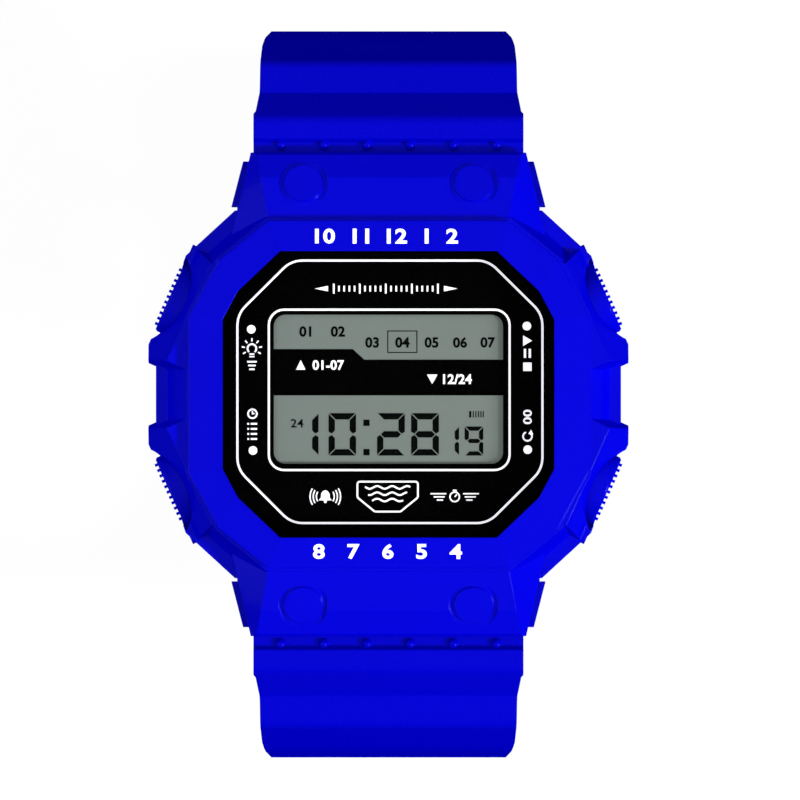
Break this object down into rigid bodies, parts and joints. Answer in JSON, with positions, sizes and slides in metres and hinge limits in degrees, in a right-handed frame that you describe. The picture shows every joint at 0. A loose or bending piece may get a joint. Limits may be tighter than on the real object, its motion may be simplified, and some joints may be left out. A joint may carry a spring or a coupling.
{
  "type": "digital watch",
  "caption": "Square digital sports watch in moulded blue resin, its strap unbuckled, with push buttons, spring bars, buckle, keeper and a full module inside.",
  "frame": {"origin": "centre of the caseback's outer face", "axes": "+Z leaves the display, +Y points to 12 o'clock and the buckle half, +X points to 3 o'clock"},
  "size_m": [0.0456, 0.0698, 0.0728],
  "materials": {
    "blue_resin": "glossy moulded resin",
    "strap_resin": "smooth soft resin",
    "case_resin": "moulded resin",
    "clear_crystal": "polished",
    "dial_black": "printed black",
    "display_grey": "reflective display",
    "module_black": "moulded",
    "board_green": "solder mask",
    "seal_black": "matte",
    "backlight_white": "matte",
    "steel": "brushed",
    "polished_steel": "polished",
    "brass": "turned"
  },
  "bodies": {
    "root": {"bezel": "blue_resin", "case": "case_resin", "crystal": "clear_crystal", "crystal_gasket": "seal_black", "dial_plate": "dial_black", "module_frame": "module_black", "lcd_panel": "display_grey", "backlight_panel": "backlight_white", "connector_strips": "seal_black", "circuit_board": "board_green", "chip": "module_black", "resonator": "polished_steel", "switch_contacts": "brass", "battery": "polished_steel", "battery_clip": "steel", "shock_pad": "seal_black", "buzzer_disc": "brass", "buzzer_spring": "steel", "caseback_seal": "seal_black", "caseback": "steel", "caseback_screws": "polished_steel", "bezel_screws": "polished_steel", "button_bushes": "brass", "top_spring_bar": "steel", "bottom_spring_bar": "steel", "top_bar_spring": "steel", "bottom_bar_spring": "steel", "light_button_spring": "steel", "mode_button_spring": "steel", "start_button_spring": "steel", "reset_button_spring": "steel"},
    "light_button": {"light_button": "blue_resin", "light_button_clip": "steel", "light_button_seal": "seal_black"},
    "mode_button": {"mode_button": "blue_resin", "mode_button_clip": "steel", "mode_button_seal": "seal_black"},
    "start_button": {"start_button": "blue_resin", "start_button_clip": "steel", "start_button_seal": "seal_black"},
    "reset_button": {"reset_button": "blue_resin", "reset_button_clip": "steel", "reset_button_seal": "seal_black"},
    "top_right_bar_tip": {"top_right_bar_tip": "polished_steel"},
    "top_left_bar_tip": {"top_left_bar_tip": "polished_steel"},
    "bottom_right_bar_tip": {"bottom_right_bar_tip": "polished_steel"},
    "bottom_left_bar_tip": {"bottom_left_bar_tip": "polished_steel"},
    "upper_strap": {"upper_strap": "strap_resin"},
    "strap_keeper": {"strap_keeper": "strap_resin"},
    "buckle": {"buckle_frame": "steel", "buckle_bar": "steel"},
    "buckle_tongue": {"buckle_tongue": "steel"},
    "lower_strap": {"lower_strap": "strap_resin"}
  },
  "joints": [
    {"name": "light_press", "type": "slide", "parent": "root", "child": "light_button", "axis": [0.9135, -0.4067, 0], "range_m": [0, 0.0008], "stiffness_N_per_m": 800, "springref_m": -0.0005, "deforming": ["light_button_spring"]},
    {"name": "mode_press", "type": "slide", "parent": "root", "child": "mode_button", "axis": [0.9135, 0.4067, 0], "range_m": [0, 0.0008], "stiffness_N_per_m": 800, "springref_m": -0.0005, "deforming": ["mode_button_spring"]},
    {"name": "start_press", "type": "slide", "parent": "root", "child": "start_button", "axis": [-0.9135, -0.4067, 0], "range_m": [0, 0.0008], "stiffness_N_per_m": 800, "springref_m": -0.0005, "deforming": ["start_button_spring"]},
    {"name": "reset_press", "type": "slide", "parent": "root", "child": "reset_button", "axis": [-0.9135, 0.4067, 0], "range_m": [0, 0.0008], "stiffness_N_per_m": 800, "springref_m": -0.0005, "deforming": ["reset_button_spring"]},
    {"name": "top_right_tip_slide", "type": "slide", "parent": "root", "child": "top_right_bar_tip", "axis": [-1, 0, 0], "range_m": [0, 0.00095], "stiffness_N_per_m": 600, "springref_m": -0.0005, "deforming": ["top_bar_spring"]},
    {"name": "top_left_tip_slide", "type": "slide", "parent": "root", "child": "top_left_bar_tip", "axis": [1, 0, 0], "range_m": [0, 0.00095], "stiffness_N_per_m": 600, "springref_m": -0.0005, "deforming": ["top_bar_spring"]},
    {"name": "bottom_right_tip_slide", "type": "slide", "parent": "root", "child": "bottom_right_bar_tip", "axis": [-1, 0, 0], "range_m": [0, 0.00095], "stiffness_N_per_m": 600, "springref_m": -0.0005, "deforming": ["bottom_bar_spring"]},
    {"name": "bottom_left_tip_slide", "type": "slide", "parent": "root", "child": "bottom_left_bar_tip", "axis": [1, 0, 0], "range_m": [0, 0.00095], "stiffness_N_per_m": 600, "springref_m": -0.0005, "deforming": ["bottom_bar_spring"]},
    {"name": "upper_strap_hinge", "type": "hinge", "parent": "root", "child": "upper_strap", "pos_m": [0, 0.0206, 0.0043], "axis": [1, 0, 0], "range_deg": [-12, 5]},
    {"name": "lower_strap_hinge", "type": "hinge", "parent": "root", "child": "lower_strap", "pos_m": [0, -0.0206, 0.0043], "axis": [1, 0, 0], "range_deg": [-5, 12]},
    {"name": "keeper_slide", "type": "slide", "parent": "upper_strap", "child": "strap_keeper", "axis": [0, 1, 0], "range_m": [-0.005, 0.001]},
    {"name": "buckle_hinge", "type": "hinge", "parent": "upper_strap", "child": "buckle", "pos_m": [0, -0.0045, -0.0395], "axis": [-1, 0, 0], "range_deg": [-60, 60]},
    {"name": "tongue_hinge", "type": "hinge", "parent": "buckle", "child": "buckle_tongue", "pos_m": [0, -0.0045, -0.0395], "axis": [1, 0, 0], "range_deg": [0, 75]}
  ]
}
